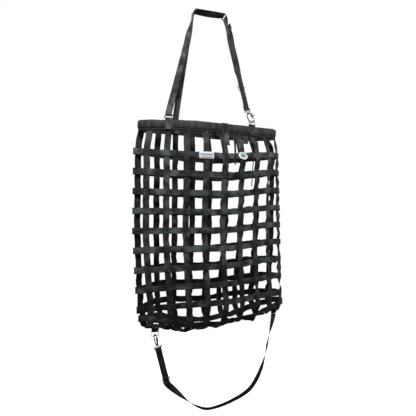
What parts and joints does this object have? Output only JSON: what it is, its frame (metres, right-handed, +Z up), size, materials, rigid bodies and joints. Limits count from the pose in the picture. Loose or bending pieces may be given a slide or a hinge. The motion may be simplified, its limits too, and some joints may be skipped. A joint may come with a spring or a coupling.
{
  "type": "hay net",
  "caption": "Slow-feed hay bag of interlaced webbing under a thick bound rim, hung from a V-shaped strap with metal rings, and with a second clip-on strap slung underneath.",
  "frame": {"origin": "in the middle of the top handle's band of webbing, where a hook or a rail carries the hung bag", "axes": "+Z up; +X along the mouth, to the right as seen from the front; +Y from the front to the back"},
  "size_m": [0.6883, 0.2338, 1.6543],
  "materials": {
    "webbing": "matt woven nylon",
    "rim": "matt padded nylon",
    "steel": "nickel-plated",
    "slide": "black, satin",
    "label": "woven, blank"
  },
  "bodies": {
    "bag": {"bottom_ring": "steel", "bottom_ring_keeper": "webbing", "bottom_strap_tab": "webbing", "closure_strap": "webbing", "closure_tail_1": "webbing", "closure_tail_2": "webbing", "front_left_keeper": "webbing", "front_left_ring": "steel", "front_right_keeper": "webbing", "front_right_ring": "steel", "hoop_strap_1": "webbing", "hoop_strap_10": "webbing", "hoop_strap_2": "webbing", "hoop_strap_3": "webbing", "hoop_strap_4": "webbing", "hoop_strap_5": "webbing", "hoop_strap_6": "webbing", "hoop_strap_7": "webbing", "hoop_strap_8": "webbing", "hoop_strap_9": "webbing", "inner_tail_1": "webbing", "inner_tail_2": "webbing", "left_hanging_strap": "webbing", "left_top_ring": "steel", "lengthwise_strap": "webbing", "oval_label": "label", "rear_left_keeper": "webbing", "rear_left_ring": "steel", "right_hanging_strap": "webbing", "right_top_ring": "steel", "rim_binding": "rim", "side_tail": "webbing", "top_handle": "webbing", "top_snap_eye": "steel", "upright_strap_1": "webbing", "upright_strap_2": "webbing", "upright_strap_3": "webbing", "upright_strap_4": "webbing", "upright_strap_5": "webbing", "upright_strap_6": "webbing", "upright_strap_7": "webbing", "upright_strap_8": "webbing", "upright_strap_9": "webbing", "woven_label": "label"},
    "top_hook": {"top_snap_hook": "steel", "top_snap_spring": "steel"},
    "top_bolt": {"top_snap_bolt": "steel"},
    "right_slide": {"right_strap_slide": "slide"},
    "closure_slide": {"closure_slide": "slide"},
    "bottom_strap": {"bottom_strap": "webbing", "bottom_snap_eye": "steel"},
    "bottom_hook": {"bottom_snap_hook": "steel", "bottom_snap_spring": "steel"},
    "bottom_bolt": {"bottom_snap_bolt": "steel"},
    "bottom_slide": {"bottom_strap_slide": "slide"}
  },
  "joints": [
    {"name": "top_snap_swivel", "type": "hinge", "parent": "bag", "child": "top_hook", "pos_m": [0.13277, -0.06543, -0.41226], "axis": [-0.3794, 0.1562, 0.912], "range_deg": [-70, 15]},
    {"name": "top_snap_bolt_slide", "type": "slide", "parent": "top_hook", "child": "top_bolt", "axis": [-0.3794, 0.1562, 0.912], "range_m": [0, 0.007], "stiffness_N_per_m": 300, "springref_m": -0.008},
    {"name": "right_strap_slide_travel", "type": "slide", "parent": "bag", "child": "right_slide", "axis": [-0.1764, 0.1519, 0.9725], "range_m": [-0.03, 0.035]},
    {"name": "closure_slide_travel", "type": "slide", "parent": "bag", "child": "closure_slide", "axis": [-0.1709, 0.9853, 0], "range_m": [0, 0.03]},
    {"name": "bottom_strap_swing", "type": "hinge", "parent": "bag", "child": "bottom_strap", "pos_m": [-0.2475, 0.003, -1.3105], "axis": [0.9976, 0.0054, 0.0696], "range_deg": [-45, 45]},
    {"name": "bottom_snap_swivel", "type": "hinge", "parent": "bottom_strap", "child": "bottom_hook", "pos_m": [-0.23814, 0.003, -1.34681], "axis": [-0.2496, 0, 0.9684], "range_deg": [-12, 60]},
    {"name": "bottom_snap_bolt_slide", "type": "slide", "parent": "bottom_hook", "child": "bottom_bolt", "axis": [0.2496, 0, -0.9684], "range_m": [0, 0.007], "stiffness_N_per_m": 300, "springref_m": -0.008},
    {"name": "bottom_strap_slide_travel", "type": "slide", "parent": "bottom_strap", "child": "bottom_slide", "axis": [-0.2496, 0, 0.9684], "range_m": [0, 0.06]}
  ]
}
